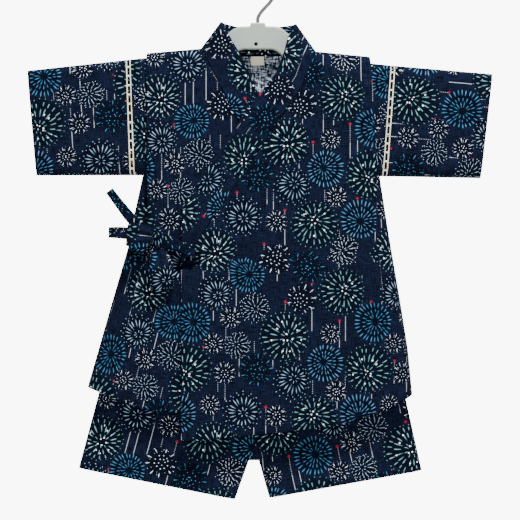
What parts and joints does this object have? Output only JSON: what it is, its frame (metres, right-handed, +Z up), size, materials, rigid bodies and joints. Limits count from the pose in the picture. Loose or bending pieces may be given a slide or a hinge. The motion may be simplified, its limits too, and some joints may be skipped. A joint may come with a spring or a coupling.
{
  "type": "child's jinbei jacket and shorts on a hanger",
  "caption": "Child's wrapped cotton jacket with short lace-joined sleeves and a side bow, over matching shorts, both held flat by a plain hanger and its hook.",
  "frame": {"origin": "inside the top of the hook, where a rail bears", "axes": "+Z up, -Y the front of the jacket, +X the viewer's right when facing it"},
  "size_m": [0.5013, 0.0536, 0.5675],
  "materials": {
    "print_cotton": "slubbed navy cotton printed with fireworks",
    "ladder_lace": "cream cotton ladder lace",
    "woven_label": "plain woven label",
    "hanger_plastic": "moulded, satin",
    "hook_wire": "bright wire"
  },
  "bodies": {
    "root": {"back_panel": "print_cotton", "under_front": "print_cotton", "over_front": "print_cotton", "collar": "print_cotton", "sleeve_left": "print_cotton", "sleeve_right": "print_cotton", "lace_left_front": "ladder_lace", "lace_left_back": "ladder_lace", "lace_right_front": "ladder_lace", "lace_right_back": "ladder_lace", "shorts_leg_left": "print_cotton", "shorts_leg_right": "print_cotton", "shorts_waistband": "print_cotton", "tie_band": "print_cotton", "tie_band_side": "print_cotton", "tie_knot": "print_cotton", "tie_loop_side": "print_cotton", "tie_loop_low": "print_cotton", "tie_tail_upper": "print_cotton", "tie_tail_side": "print_cotton", "neck_label": "woven_label", "hanger_body": "hanger_plastic", "hanger_hook": "hook_wire"}
  },
  "joints": []
}
